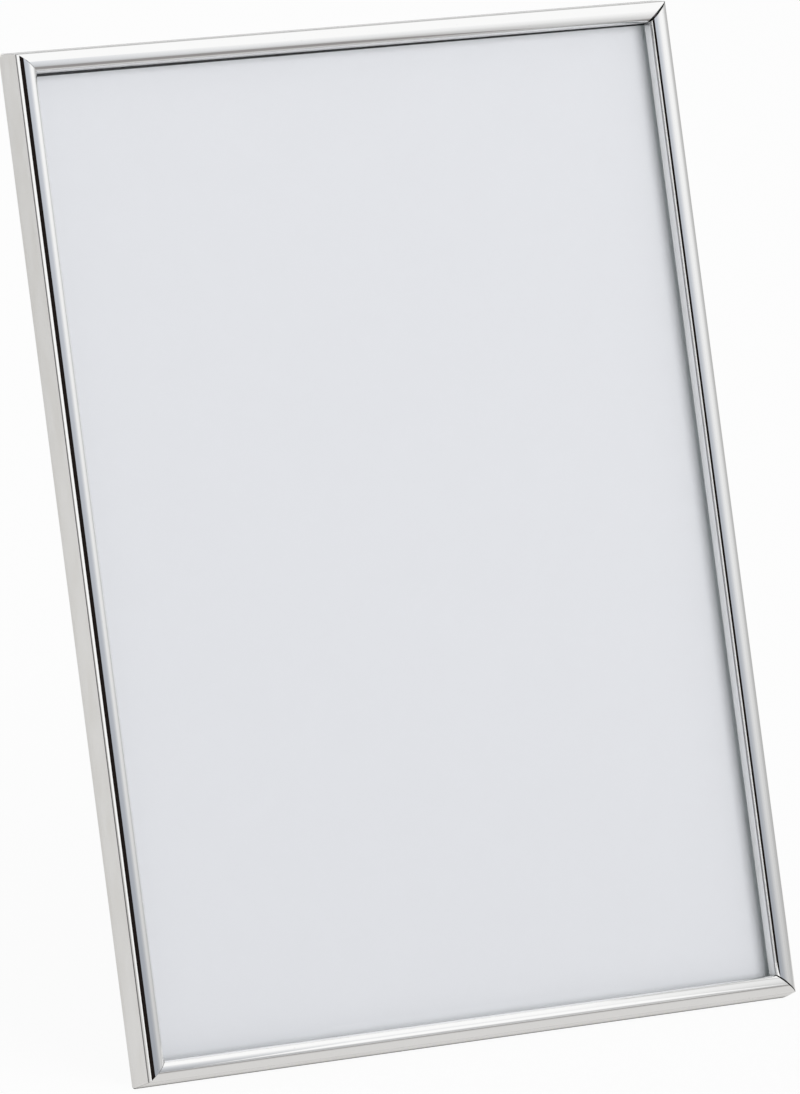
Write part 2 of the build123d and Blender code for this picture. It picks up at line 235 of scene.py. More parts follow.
def rail_section(outer_shade_and_wear, inner_shade_and_wear, outer_groove_shade, ridge_shade):
    """The rail's outline as short runs: two points, their normals, how dark and dull it is there from painted
    shade and wear, and how flat it is.
    """
    edge_angle = atan2(BEAD_W / 2, BEAD_R - BEAD_RISE)
    bead = []
    for step in range(BEAD_STEPS + 1):
        angle = edge_angle * (2 * step / BEAD_STEPS - 1)
        normal = Vector((sin(angle), cos(angle)))
        bead.append((Vector((BEAD_W / 2, BEAD_RISE - BEAD_R)) + normal * BEAD_R, normal))
    corners = [
        (WALL_T - REAR_EDGE_T, -RAIL_DEPTH, EDGE_R),
        (-RIDGE_OUT, -RIDGE_DEPTH, RIDGE_R),
        (0, -GROOVE_W, EDGE_R),
        (GROOVE_DEPTH, -GROOVE_W / 2, EDGE_R),
        (0, 0, None),
        (BEAD_W - GROOVE_DEPTH, -GROOVE_W / 2, EDGE_R),
        (BEAD_W, -GROOVE_W, EDGE_R),
        (BEAD_W, -REVEAL, EDGE_R),
        (WALL_T, -REVEAL, EDGE_R),
        (WALL_T, LIP_T - RAIL_DEPTH, EDGE_R),
        (WALL_T + LIP_REACH, LIP_T - RAIL_DEPTH, EDGE_R),
        (WALL_T + LIP_REACH, -RAIL_DEPTH, EDGE_R),
    ]
    points = [Vector((s, n)) for s, n, radius in corners]
    ends = {BEAD_CORNER: (bead[0][0], bead[-1][0])}
    arcs = []
    for index, (s, n, radius) in enumerate(corners):
        if radius is None:
            arcs.append(bead)
            continue
        last, following = (index - 1) % len(corners), (index + 1) % len(corners)
        before = ends[last][1] if last in ends else points[last]
        after = ends[following][0] if following in ends else points[following]
        arcs.append(rounded_corner(before, points[index], after, radius))
    runs = []
    # Painted shade in the grooves beside the bead: their faces are darkened, the outer groove by each rail's
    # own amount.
    groove_shades = {BEAD_CORNER - 2: outer_groove_shade, BEAD_CORNER - 1: outer_groove_shade}
    groove_shades |= {BEAD_CORNER: GROOVE_SHADE, BEAD_CORNER + 1: GROOVE_SHADE}
    for index, arc in enumerate(arcs):
        in_groove = index in (BEAD_CORNER - 1, BEAD_CORNER + 1)
        is_bead, is_ridge = index == BEAD_CORNER, index == RIDGE_CORNER
        edge_wear_and_shade = max(EDGE_WEAR, ridge_shade) if is_ridge else EDGE_WEAR
        for (p, np), (q, nq) in zip(arc, arc[1:]):
            middle = (p.x + q.x) / 2
            # The bead darkens in bands at its outer and inner edge: painted shade beside the grooves, and
            # wear.
            bead_edge_shade_and_wear = max(1 - middle / outer_shade_and_wear, 1 - (BEAD_W - middle) / inner_shade_and_wear, 0.0)
            dull = bead_edge_shade_and_wear if is_bead else (groove_shades[index] if in_groove else edge_wear_and_shade)
            runs.append((p, q, np, nq, dull, 0.0 if is_bead else 1.0))
        p, q = arc[-1][0], arcs[(index + 1) % len(arcs)][0][0]
        flat = (q - p).normalized()
        normal = Vector((-flat.y, flat.x))
        # A painted shadow along the ridge, fading up the side wall from it, darkest on the bottom rail.
        if is_ridge:
            for step in range(RIDGE_SHADE_STEPS):
                worn_to = p + flat * RIDGE_SHADE_W / RIDGE_SHADE_STEPS
                dull = ridge_shade * (1 - step / RIDGE_SHADE_STEPS) ** RIDGE_SHADE_FALL
                runs.append((p, worn_to, normal, normal, dull, 1.0))
                p = worn_to
        runs.append((p, q, normal, normal, groove_shades.get(index, 0.0), 1.0))
    return runs


def rail(name, middle, inward, length, rail_shade_and_wear, gaps=(0.0, 0.0)):
    """One mitred rail, built from the middle of its outer edge. A gap opens the bead of a mitre a little."""
    along = inward.cross(outward)
    runs = rail_section(*rail_shade_and_wear)
    room_back = FLANGE_T - REVEAL
    room_front = sqrt(BEAD_R**2 - (BEAD_W / 2 - WALL_T) ** 2) - BEAD_R + BEAD_RISE - BEAD_SHELL
    room_end = BEAD_W - WALL_T
    room = [(WALL_T, room_back), (room_end, room_back), (room_end, room_front), (WALL_T, room_front)]
    points, faces, normals, rolled, dull, side_wall, sawn = [], [], [], [], [], [], []

    def cut_at(s, n, end):
        """How far along the rail its mitred end is, at a point of the section."""
        gap = gaps[0] if end < 0 else gaps[1]
        bow = sin(GAP_SWEEP * min(max(s / BEAD_W, 0), 1)) * min(max((n + REVEAL) / REVEAL, 0), 1)
        return end * (length / 2 - s - gap * bow)

    def add_point(s, n, a):
        points.append(middle + inward * s + outward * n + along * a)
        return len(points) - 1

    outline = [run[0] for run in runs]
    pairs = zip(runs, runs[-1:] + runs[:-1])
    eased = [run[0] - (run[2] + last[3]).normalized() * CUT_EASE for run, last in pairs]
    stations = [(-1, RIDGE_TURNS[0], True)] + [(-1, turn, False) for turn in RIDGE_TURNS]
    stations += [(-end, turn, cut) for end, turn, cut in reversed(stations)]
    rings, ends = [], []
    for end, turn, cut in stations:
        least, back = RIDGE_TURN_R * (1 - sin(turn)) - RIDGE_OUT, RIDGE_TURN_R * (sin(turn) - cos(turn))
        if cut:
            placed = [(max(p.x, least + CUT_EASE), p.y) for p in eased]
            ends.append([(s, n, 0.0) for s, n in placed])
        else:
            placed = [(max(p.x, least), p.y) for p in outline]
        drawn = end * (0.0 if cut else back + CUT_EASE)
        rings.append([add_point(s, n, cut_at(s, n, end) - drawn) for s, n in placed])
    holes = [[add_point(s, n, cut_at(s, n, end)) for s, n in room] for end in (-1, 1)]
    reach = [0.0]
    for p, q, *rest in runs:
        reach.append(reach[-1] + (q - p).length)

    def add_face(corners, corner_normals, uvs, shade_and_wear_level, flatness, is_sawn=False):
        faces.append(corners)
        normals.extend(corner_normals)
        rolled.extend(uvs)
        dull.extend([shade_and_wear_level] * len(corners))
        side_wall.extend([flatness] * len(corners))
        sawn.append(is_sawn)

    def lit(normal, point, station, tilt):
        """A normal of the section, turned with the rounded corner where that has drawn the strip in."""
        end, turn = station[:2]
        sideways = inward
        if point.x < RIDGE_TURN_R * (1 - sin(turn)) - RIDGE_OUT:
            sideways = inward * sin(turn) - along * end * cos(turn)
        return (sideways * normal.x + outward * normal.y + tilt).normalized()

    for near, far, first, last in zip(rings, rings[1:], stations, stations[1:]):
        is_ease = first[2] or last[2]
        tilt = along * first[0] if is_ease else Vector((0, 0, 0))
        spans = [station[0] * length / 2 for station in (first, last)]
        for i, (p, q, np, nq, shade_and_wear_level, flatness) in enumerate(runs):
            j = (i + 1) % len(runs)
            corner_normals = [lit(np, p, station, tilt) for station in (first, last)]
            corner_normals += [lit(nq, q, station, tilt) for station in (last, first)]
            uvs = [(spans[k], reach[m]) for k, m in ((0, i), (1, i), (1, i + 1), (0, i + 1))]
            shade = max(shade_and_wear_level, CUT_WEAR) if is_ease else shade_and_wear_level
            add_face([near[i], far[i], far[j], near[j]], corner_normals, uvs, shade, flatness)
    for i, j in ((0, 1), (1, 2), (2, 3), (3, 0)):
        flat = Vector(room[j]) - Vector(room[i])
        normal = (inward * -flat.y + outward * flat.x).normalized()
        add_face([holes[0][i], holes[1][i], holes[1][j], holes[0][j]], [normal] * 4, [(0, 0)] * 4, 1.0, 1.0)
    for end, ring, hole, edge in ((-1, rings[0], holes[0], ends[0]), (1, rings[-1], holes[1], ends[1])):
        loops = [edge, [(s, n, 0.0) for s, n in room]]
        facing = (along * end + inward).normalized()
        places = ring + hole
        for triangle in tessellate_polygon([[Vector(p) for p in loop] for loop in loops]):
            corners = [places[k] for k in triangle]
            a, b, c = [points[k] for k in corners]
            if (b - a).cross(c - a).dot(facing) < 0:
                corners.reverse()
            add_face(corners, [facing] * 3, [(0, 0)] * 3, 1.0, 1.0, True)
    mesh = bpy.data.meshes.new(name)
    mesh.from_pydata(points, [], faces)
    mesh.uv_layers.new(name="rolled").data.foreach_set("uv", [value for uv in rolled for value in uv])
    # The painted shade and wear go to the plate as a corner attribute that darkens its colour.
    for title, values in (("dull", dull), ("side_wall", side_wall)):
        mesh.attributes.new(title, "FLOAT", "CORNER").data.foreach_set("value", values)
    mesh.polygons.foreach_set("material_index", [int(flag) for flag in sawn])
    mesh.polygons.foreach_set("use_smooth", [True] * len(faces))
    mesh.materials.append(plate)
    mesh.materials.append(raw_cut)
    mesh.update()
    mesh.normals_split_custom_set(normals)
    finished(name, mesh, "frame", "bright_metal", name.replace("bright_", ""))


def finished(name, mesh, body, slot, *nodes):
    """Puts a finished mesh on its body in place of its nodes."""
    piece = bpy.data.objects.new(name, mesh)
    bpy.context.scene.collection.objects.link(piece)
    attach(piece, body)
    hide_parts(*nodes)


plate, raw_cut = bright_plate(), cut_steel()
rail("bright_rail_bottom", on_frame(0, 0), up, OUTER_W, BOTTOM_SHADE_AND_WEAR, BOTTOM_GAPS)
rail("bright_rail_top", on_frame(0, OUTER_H), -up, OUTER_W, TOP_SHADE_AND_WEAR, TOP_GAPS)
rail("bright_rail_left", on_frame(-OUTER_W / 2, OUTER_H / 2), across, OUTER_H, LEFT_SHADE_AND_WEAR)
rail("bright_rail_right", on_frame(OUTER_W / 2, OUTER_H / 2), -across, OUTER_H, RIGHT_SHADE_AND_WEAR)

# Corner keys: L-shaped zinc-plated steel stampings, pushed into the hollow beads at the mitres.
# Four of them hold the rails square, and only their edges can be seen through a mitre.
def zinc_plate():
    """Dull zinc plating with its small crystal patches."""
    material, wire = new_finish("zinc_plate")
    where = wire.add("ShaderNodeTexCoord", out=3)
    patches = wire.add("ShaderNodeTexVoronoi", None, {"Vector": where, "Scale": 900.0}, out=1)
    grain = wire.noise(where, 5000.0, 3.0)
    tone = grain.tint((0.42, 0.43, 0.44), (0.56, 0.56, 0.55))
    mixing = {"data_type": "RGBA", "blend_type": "SOFT_LIGHT"}
    tone = wire.add("ShaderNodeMix", mixing, {0: 0.2, 6: tone, 7: patches}, out=2)
    surface(wire, principled(wire, Base_Color=tone, Metallic=1.0, Roughness=0.35 + grain * 0.2))
    return material


zinc = zinc_plate()
for level in ("top", "bottom"):
    for hand in ("left", "right"):
        key = frame["nodes"][f"corner_key_{level}_{hand}"]
        key.data.materials.clear()
        key.data.materials.append(zinc)

# Glass: one pane of 1.5 mm clear float glass with seamed edges, laid in from the rear against the beads.
# Nothing holds it but the stack of print and board behind it.
GLASS_T, PANE_W, PANE_H = 1.5 * MM, 129.6 * MM, 179.6 * MM
GLASS_SEAM = 0.2 * MM
EASE_ROUND, PLATE_SHARP = 0.3, radians(20)


def offset_outline(outline, depth):
    """A closed outline, walked anticlockwise, drawn in by a depth."""
    moved = []
    for last, here, after in zip(outline[-1:] + outline[:-1], outline, outline[1:] + outline[:1]):
        a = Vector((here[0] - last[0], here[1] - last[1])).normalized()
        b = Vector((after[0] - here[0], after[1] - here[1])).normalized()
        bisector = Vector((-a.y - b.y, a.x + b.x))
        bisector *= 2 / bisector.length_squared
        moved.append((here[0] + bisector.x * depth, here[1] + bisector.y * depth))
    return moved


def plate_mesh(name, outline, holes, low, high, ease, place, face_finish, edge_finish):
    """A flat plate between two levels with eased edges and holes, its outlines walked anticlockwise."""
    eases = ((0.0, ease), (EASE_ROUND * ease, EASE_ROUND * ease), (ease, 0.0))
    levels = [(low + rise, depth) for rise, depth in eases]
    levels += [(high - rise, depth) for rise, depth in eases[::-1]]
    points, faces, finish = [], [], []
    loops = [outline] + [loop[::-1] for loop in holes]
    walls = []
    for loop in loops:
        rings = []
        for level, depth in levels:
            drawn = offset_outline(loop, depth) if depth else loop
            rings.append([len(points) + i for i in range(len(drawn))])
            points += [place(x, y, level) for x, y in drawn]
        walls.append(rings)
        for near, far in zip(rings, rings[1:]):
            for i in range(len(near)):
                j = (i + 1) % len(near)
                faces.append((near[i], near[j], far[j], far[i]))
                finish.append(1)
    for ring, turned in ((0, True), (-1, False)):
        flat = [[Vector((*xy, 0)) for xy in offset_outline(loop, ease)] for loop in loops]
        places = [index for rings in walls for index in rings[ring]]
        ordered = [p for loop in flat for p in loop]
        for triangle in tessellate_polygon(flat):
            a, b, c = [ordered[k] for k in triangle]
            corners = [places[k] for k in triangle]
            if ((b - a).cross(c - a).z < 0) != turned:
                corners.reverse()
            faces.append(tuple(corners))
            finish.append(0)
    mesh = bpy.data.meshes.new(name)
    mesh.from_pydata(points, [], faces)
    mesh.materials.append(face_finish)
    mesh.materials.append(edge_finish)
    mesh.polygons.foreach_set("material_index", finish)
    mesh.polygons.foreach_set("use_smooth", [True] * len(faces))
    mesh.set_sharp_from_angle(angle=PLATE_SHARP)
    return mesh


def rectangle(middle_x, middle_u, width, height):
    corners = ((-1, -1), (1, -1), (1, 1), (-1, 1))
    return [(middle_x + x * width / 2, middle_u + u * height / 2) for x, u in corners]


def clear_glass():
    """Clear glass that mirrors more at a slant, with a faint green cast and a few smears in its gloss."""
    material, wire = new_finish("clear_glass")
    where = wire.add("ShaderNodeTexCoord", out=3)
    smears = wire.noise(wire.stretched(where, (30.0, 30.0, 12.0)), 1.0, 3.0, 0.6)
    slant = wire.add("ShaderNodeLayerWeight", None, {"Blend": 0.5}, out="Facing")
    mirror = 0.02 + 0.98 * slant.maths("POWER", slant, 5.0)
    through = wire.add("ShaderNodeBsdfTransparent", None, {"Color": (0.99, 0.994, 0.993, 1.0)})
    sockets = {"Color": (1.0, 1.0, 1.0, 1.0), "Roughness": smears * 0.05}
    gloss = wire.add("ShaderNodeBsdfAnisotropic", None, sockets)
    surface(wire, wire.add("ShaderNodeMixShader", None, {0: mirror, 1: through, 2: gloss}))
    return material


def seamed_edge():
    """The ground edge of the pane: pale green and frosted."""
    material, wire = new_finish("seamed_glass_edge")
    where = wire.add("ShaderNodeTexCoord", out=3)
    grit = wire.noise(where, 9000.0, 2.0)
    tone = grit.tint((0.3, 0.42, 0.38), (0.5, 0.62, 0.57))
    surface(wire, principled(wire, Base_Color=tone, Roughness=0.35 + grit * 0.3))
    return material


pane = plate_mesh(
    "glass_sheet",
    rectangle(0, OUTER_H / 2, PANE_W, PANE_H),
    [],
    -REVEAL - GLASS_T,
    -REVEAL,
    GLASS_SEAM,
    on_frame,
    clear_glass(),
    seamed_edge(),
)
finished("glass_sheet", pane, "frame", "clear_glass", "glass_pane")

# Print: one sheet of matt 200 gram paper, printed an even pale grey and trimmed by hand a little short,
# so that a sliver of the board shows along the upper edge. It lies loose between the glass and the board.
SHEET_T, SHEET_EASE = 0.2 * MM, 0.02 * MM
SHEET_AIR = 0.02 * MM
SHEET_SHORT_LEFT, SHEET_SHORT_RIGHT = 1.76 * MM, 1.57 * MM
SHEET_GREY, SHEET_MOTTLE = (0.766, 0.766, 0.801), 0.985


def printed_paper():
    """Matt coated paper under an even tint: faint mottle, and the fine tooth of its fibres."""
    material, wire = new_finish("printed_paper")
    where = wire.add("ShaderNodeTexCoord", out=3)
    mottle = wire.noise(where, 160.0, 3.0, 0.6)
    fibres = wire.noise(wire.stretched(where, (2500.0, 2500.0, 9000.0)), 1.0, 3.0)
    darker = tuple(SHEET_MOTTLE * value for value in SHEET_GREY)
    tone = (mottle * 0.6 + fibres * 0.4).tint(darker, SHEET_GREY)
    normal = wire.bump(fibres, 0.000004, 0.6)
    surface(wire, principled(wire, Base_Color=tone, Roughness=0.62 + fibres * 0.2, Normal=normal))
    return material


paper = printed_paper()
sheet_outline = rectangle(0, OUTER_H / 2, PANE_W, PANE_H)
sheet_outline[2] = (sheet_outline[2][0], sheet_outline[2][1] - SHEET_SHORT_RIGHT)
sheet_outline[3] = (sheet_outline[3][0], sheet_outline[3][1] - SHEET_SHORT_LEFT)
glass_rear = -REVEAL - GLASS_T
low, high = glass_rear - SHEET_T, glass_rear - SHEET_AIR
sheet = plate_mesh("grey_print", sheet_outline, [], low, high, SHEET_EASE, on_frame, paper, paper)
finished("grey_print", sheet, "frame", "grey_paper", "print_sheet")

# Back board: 2 mm fibreboard with a dark flocked paper on both faces, cut with rounded corners.
# It is drilled for the rivets of its turn buttons, hinge and hangers, and the buttons hold it in the rails.
BOARD_T, BOARD_CORNER_R = 2.0 * MM, 1.5 * MM
BOARD_FRONT = BOARD_REAR + BOARD_T
BOARD_EASE = 0.15 * MM
HOLE_R, HOLE_SIDES = 0.95 * MM, 28
CORNER_STEPS = 6
HINGE_U = 128 * MM
HINGE_RIVET_X, HINGE_RIVET_U = 7.5 * MM, 8.0 * MM
TOP_HANGER_INSET, SIDE_HANGER_INSET = 22 * MM, 20 * MM
HANGERS = {
    "top": (0.0, OUTER_H - TOP_HANGER_INSET, up),
    "side": (OUTER_W / 2 - SIDE_HANGER_INSET, OUTER_H / 2, across),
}
STRAP_RIVET = 5.2 * MM
BUTTON_X = abs(lower_pivot.x)


def rounded_outline(corners):
    """An outline with rounded corners from (x, y, radius), walked anticlockwise."""
    outline = []
    for last, here, after in zip(corners[-1:] + corners[:-1], corners, corners[1:] + corners[:1]):
        a = Vector((here[0] - last[0], here[1] - last[1])).normalized()
        b = Vector((after[0] - here[0], after[1] - here[1])).normalized()
        if not here[2]:
            outline.append((here[0], here[1]))
            continue
        turn = atan2(a.x * b.y - a.y * b.x, a.dot(b))
        reach = here[2] * sin(turn / 2) / cos(turn / 2)
        start = Vector(here[:2]) - a * reach
        centre = start + Vector((-a.y, a.x)) * here[2]
        for step in range(CORNER_STEPS + 1):
            angle = turn * step / CORNER_STEPS
            spoke = start - centre
            outline.append(
                (
                    centre.x + spoke.x * cos(angle) - spoke.y * sin(angle),
                    centre.y + spoke.x * sin(angle) + spoke.y * cos(angle),
                )
            )
    return outline


def circle(x, y, radius):
    turns = [2 * pi * k / HOLE_SIDES for k in range(HOLE_SIDES)]
    return [(x + radius * cos(turn), y + radius * sin(turn)) for turn in turns]


def flocked_paper():
    """Charcoal flock: short upright fibres, soft brushed patches and a few pale bits of lint."""
    material, wire = new_finish("flocked_paper")
    where = wire.add("ShaderNodeTexCoord", out=3)
    nap = wire.noise(where, 9000.0, 4.0, 0.7)
    brushed = wire.noise(wire.stretched(where, (40.0, 40.0, 70.0)), 1.0, 3.0, 0.6)
    lint = wire.noise(where, 1400.0, 1.0).step(0.76, 0.8)
    tone = nap.tint((0.008, 0.008, 0.009), (0.045, 0.045, 0.048))
    tone = brushed.step(0.35, 0.75).tint(tone, (0.03, 0.03, 0.033))
    tone = (lint * 0.35).tint(tone, (0.16, 0.16, 0.16))
    rough, normal = 0.85 + nap * 0.12, wire.bump(nap, 0.00012, 0.8)
    sheen = {"Sheen_Weight": 0.25, "Sheen_Roughness": 0.5}
    surface(wire, principled(wire, Base_Color=tone, Roughness=rough, Normal=normal, **sheen))
    return material


def fibreboard_edge():
    """The cut edge of brown fibreboard: layered, fuzzy and uneven."""
    material, wire = new_finish("fibreboard_edge")
    where = wire.add("ShaderNodeTexCoord", out=3)
    fibres = wire.noise(where, 4000.0, 4.0, 0.7)
    patches = wire.noise(where, 350.0, 2.0)
    tone = fibres.tint((0.16, 0.1, 0.058), (0.34, 0.235, 0.15))
    tone = patches.step(0.45, 0.75).tint(tone, (0.2, 0.135, 0.085))
    surface(wire, principled(wire, Base_Color=tone, Roughness=0.9, Normal=wire.bump(fibres, 0.00008, 0.7)))
    return material


flock, fibre_edge = flocked_paper(), fibreboard_edge()
board_corners = rectangle(0, OUTER_H / 2, PANE_W, PANE_H)
board_outline = rounded_outline([(cx, cu, BOARD_CORNER_R) for cx, cu in board_corners])
button_spots = {
    f"{level}_{hand}": (side * BUTTON_X, at, side)
    for level, at in (("upper", OUTER_H - BUTTON_INSET), ("lower", BUTTON_INSET))
    for hand, side in (("left", -1), ("right", 1))
}
button_rivets = [(cx, cu) for cx, cu, side in button_spots.values()]
board_hinge_rivets = [(side * HINGE_RIVET_X, HINGE_U + HINGE_RIVET_U) for side in (-1, 1)]
hanger_rivets = [(0.0, HANGERS["top"][1] - STRAP_RIVET), (HANGERS["side"][0] - STRAP_RIVET, OUTER_H / 2)]
board_holes = [circle(cx, cu, HOLE_R) for cx, cu in button_rivets + board_hinge_rivets + hanger_rivets]
board = plate_mesh(
    "flocked_board",
    board_outline,
    board_holes,
    BOARD_REAR,
    BOARD_FRONT,
    BOARD_EASE,
    on_frame,
    flock,
    fibre_edge,
)
finished("flocked_board", board, "frame", "dark_board", "back_board")

# Turn buttons: four stamped tongues of nickel-plated spring steel, each on a rivet of its own.
# Their tips swing out under the rear lips of the long rails and keep the board in.
BUTTON_R, BUTTON_TIP_R, BUTTON_REACH = 3.2 * MM, 2.2 * MM, 9.0 * MM
BUTTON_T, BUTTON_PLAY, BUTTON_EASE = 0.4 * MM, 0.05 * MM, 0.08 * MM
BUTTON_STEPS = 14


def nickel_plate():
    """Satin nickel over stamped steel: fine tumbled grain, clouded gloss and a few darker spots."""
    material, wire = new_finish("nickel_plate")
    where = wire.add("ShaderNodeTexCoord", out=3)
    grain = wire.noise(where, 7000.0, 3.0, 0.6)
    clouds = wire.noise(where, 420.0, 2.0)
    spots = wire.noise(where, 1900.0, 1.0).step(0.72, 0.8)
    tone = clouds.tint((0.6, 0.58, 0.545), (0.72, 0.7, 0.665))
    tone = (spots * 0.4).tint(tone, (0.3, 0.28, 0.25))
    rough = 0.2 + clouds * 0.12 + grain * 0.08
    normal = wire.bump(grain, 0.000004, 0.5)
    surface(wire, principled(wire, Base_Color=tone, Metallic=1.0, Roughness=rough, Normal=normal))
    return material


nickel = nickel_plate()
apart = BUTTON_REACH - BUTTON_TIP_R
slant = pi / 2 - (BUTTON_R - BUTTON_TIP_R) / apart
tongue = []
for centre, radius, first, last in (
    (apart, BUTTON_TIP_R, -slant, slant),
    (0.0, BUTTON_R, slant, 2 * pi - slant),
):
    for step in range(BUTTON_STEPS + 1):
        angle = first + (last - first) * step / BUTTON_STEPS
        tongue.append((centre + radius * cos(angle), radius * sin(angle)))
for spot, (cx, cu, side) in button_spots.items():

    def on_button(a, b, n, cx=cx, cu=cu, side=side):
        return on_frame(cx + side * a, cu + side * b, n)

    mesh = plate_mesh(
        f"nickel_button_{spot}",
        tongue,
        [circle(0, 0, HOLE_R)],
        BOARD_REAR - BUTTON_PLAY - BUTTON_T,
        BOARD_REAR - BUTTON_PLAY,
        BUTTON_EASE,
        on_button,
        nickel,
        nickel,
    )
    finished(f"nickel_button_{spot}", mesh, f"button_{spot}", "plated_steel", f"turn_button_{spot}")

# Hinge: two stamped leaves of nickel-plated steel on a headed pin, riveted to the board and to the strut.
# The strut's leaf has a heel that meets the board's leaf when the strut is open, and stops it there.
LEAF_T, STRUT_OPEN = 0.5 * MM, radians(24)
pin = Vector(joints["strut_fold"]["pos_m"])
pin.x = 0.0
strut_up = up * cos(STRUT_OPEN) + outward * sin(STRUT_OPEN)
strut_out = across.cross(strut_up)
for name in ("hinge_leaf_board", "hinge_leaf_strut", "hinge_pin"):
    node = frame["nodes"][name]
    node.data.materials.clear()
    node.data.materials.append(nickel)

# Strut: a leg of the same flocked fibreboard, 2.5 mm thick, with rounded shoulders and wider at its foot.
# The foot is cut level with the table, and two rivets hold the leg to its hinge leaf.
STRUT_FRONT, STRUT_T = 0.8 * MM, 2.5 * MM
STRUT_REAR = STRUT_FRONT - STRUT_T
STRUT_TOP, STRUT_TOP_W, STRUT_TOP_R = -1.8 * MM, 34 * MM, 4.0 * MM
STRUT_FOOT_W, STRUT_EASE = 48 * MM, 0.2 * MM


def level_cut(n):
    """How far up the strut from the pin the table is, at a place out of its front."""
    return -(pin.z + strut_out.z * n) / strut_up.z


def on_strut(x, v, n):
    """A point by its place across, up from the pin and out of the front of the strut, its foot cut level."""
    if v < level_cut(0) / 2:
        v += level_cut(n) - level_cut(0)
    return pin + across * x + strut_up * v + strut_out * n


flare = (STRUT_FOOT_W - STRUT_TOP_W) / 2 / (STRUT_TOP - level_cut(STRUT_REAR) + STRUT_T)
foot_x = STRUT_TOP_W / 2 + flare * (STRUT_TOP - level_cut(0))
strut_outline = rounded_outline(
    [
        (-foot_x, level_cut(0), 0),
        (foot_x, level_cut(0), 0),
        (STRUT_TOP_W / 2, STRUT_TOP, STRUT_TOP_R),
        (-STRUT_TOP_W / 2, STRUT_TOP, STRUT_TOP_R),
    ]
)
strut_rivets = [(side * HINGE_RIVET_X, -HINGE_RIVET_U) for side in (-1, 1)]
strut_holes = [circle(x, v, HOLE_R) for x, v in strut_rivets]
leg = plate_mesh(
    "flocked_strut",
    strut_outline,
    strut_holes,
    STRUT_REAR,
    STRUT_FRONT,
    STRUT_EASE,
    on_strut,
    flock,
    fibre_edge,
)
finished("flocked_strut", leg, "strut", "dark_board", "strut")

# Hangers: two wall hangers for upright and sideways use, each a folded steel strap riveted to the board.
# A ring of bent nickel-plated wire swings in the strap's barrel.
RING_BASE, RING_RISE, RING_BEND_R, WIRE_R = 14 * MM, 11 * MM, 1.5 * MM, 0.6 * MM
STRAP_T, BAR_STANDOFF = 0.4 * MM, 1.15 * MM
BEND_STEPS, WIRE_SIDES, RULE_SHARP = 8, 18, radians(35)


def new_rule(name, sizes):
    """An empty geometry rule with named sizes: its tree, the wire that adds to it, and what it is given."""
    tree = bpy.data.node_groups.new(name, "GeometryNodeTree")
    tree.interface.new_socket("Places", in_out="INPUT", socket_type="NodeSocketGeometry")
    tree.interface.new_socket("Shape", in_out="OUTPUT", socket_type="NodeSocketGeometry")
    for size, kind in sizes.items():
        tree.interface.new_socket(size, in_out="INPUT", socket_type=f"NodeSocket{kind}")
    given = tree.nodes.new("NodeGroupInput")
    return tree, Wire(tree), {socket.name: Wire(tree, socket) for socket in given.outputs if socket.name}


def end_rule(wire, shape, finish):
    """Ends a geometry rule: its copies made real, in their finish."""
    real = wire.add("GeometryNodeRealizeInstances", None, {"Geometry": shape})
    dressed = wire.add("GeometryNodeSetMaterial", None, {"Geometry": real, "Material": finish})
    wire.add("NodeGroupOutput", None, {"Shape": dressed}, out=None)


def follow_rule(name, tree, sizes, places, edges=()):
    """Runs a geometry rule on a few places, and gives the plain mesh that it makes."""
    base = bpy.data.meshes.new(f"{name}_places")
    base.from_pydata(places, edges, [])
    maker = bpy.data.objects.new(f"{name}_places", base)
    bpy.context.scene.collection.objects.link(maker)
    modifier = maker.modifiers.new("rule", "NODES")
    modifier.node_group = tree
    for item in tree.interface.items_tree:
        if item.in_out == "INPUT" and item.name in sizes:
            modifier[item.identifier] = sizes[item.name]
    mesh = bpy.data.meshes.new_from_object(maker.evaluated_get(bpy.context.evaluated_depsgraph_get()))
    maker.modifiers.remove(modifier)
    bpy.data.objects.remove(maker)
    mesh.name = name
    mesh.polygons.foreach_set("use_smooth", [True] * len(mesh.polygons))
    mesh.set_sharp_from_angle(angle=RULE_SHARP)
    return mesh


def bent_wire_rule():
    """Wire bent round the corners of a loop and closed."""
    sizes = {"Wire Radius": "Float", "Bend Radius": "Float", "Bend Steps": "Int", "Sides": "Int"}
    tree, wire, given = new_rule("bent_wire", sizes)
    loop = wire.add("GeometryNodeMeshToCurve", None, {"Mesh": given["Places"]})
    bends = {"Curve": loop, "Count": given["Bend Steps"], "Radius": given["Bend Radius"]}
    bent = wire.add("GeometryNodeFilletCurve", {"mode": "POLY"}, bends)
    girth = {"Resolution": given["Sides"], "Radius": given["Wire Radius"]}
    round_wire = wire.add("GeometryNodeCurvePrimitiveCircle", None, girth)
    drawn = wire.add("GeometryNodeCurveToMesh", None, {"Curve": bent, "Profile Curve": round_wire})
    end_rule(wire, drawn, nickel)
    return tree


bent_wire = bent_wire_rule()
wire_sizes = {"Wire Radius": WIRE_R, "Bend Radius": RING_BEND_R}
wire_sizes |= {"Bend Steps": BEND_STEPS, "Sides": WIRE_SIDES}
for name, (cx, cu, pointing) in HANGERS.items():
    strap = frame["nodes"][f"hanger_strap_{name}"]
    strap.data.materials.clear()
    strap.data.materials.append(nickel)
    bar = on_frame(cx, cu, BOARD_REAR - BAR_STANDOFF)
    sideways = pointing.cross(-outward)
    corners = [bar - sideways * RING_BASE / 2, bar + sideways * RING_BASE / 2, bar + pointing * RING_RISE]
    ring = follow_rule(f"wire_ring_{name}", bent_wire, wire_sizes, corners, [(0, 1), (1, 2), (2, 0)])
    finished(f"wire_ring_{name}", ring, f"ring_{name}", "plated_steel", f"hanger_ring_{name}")

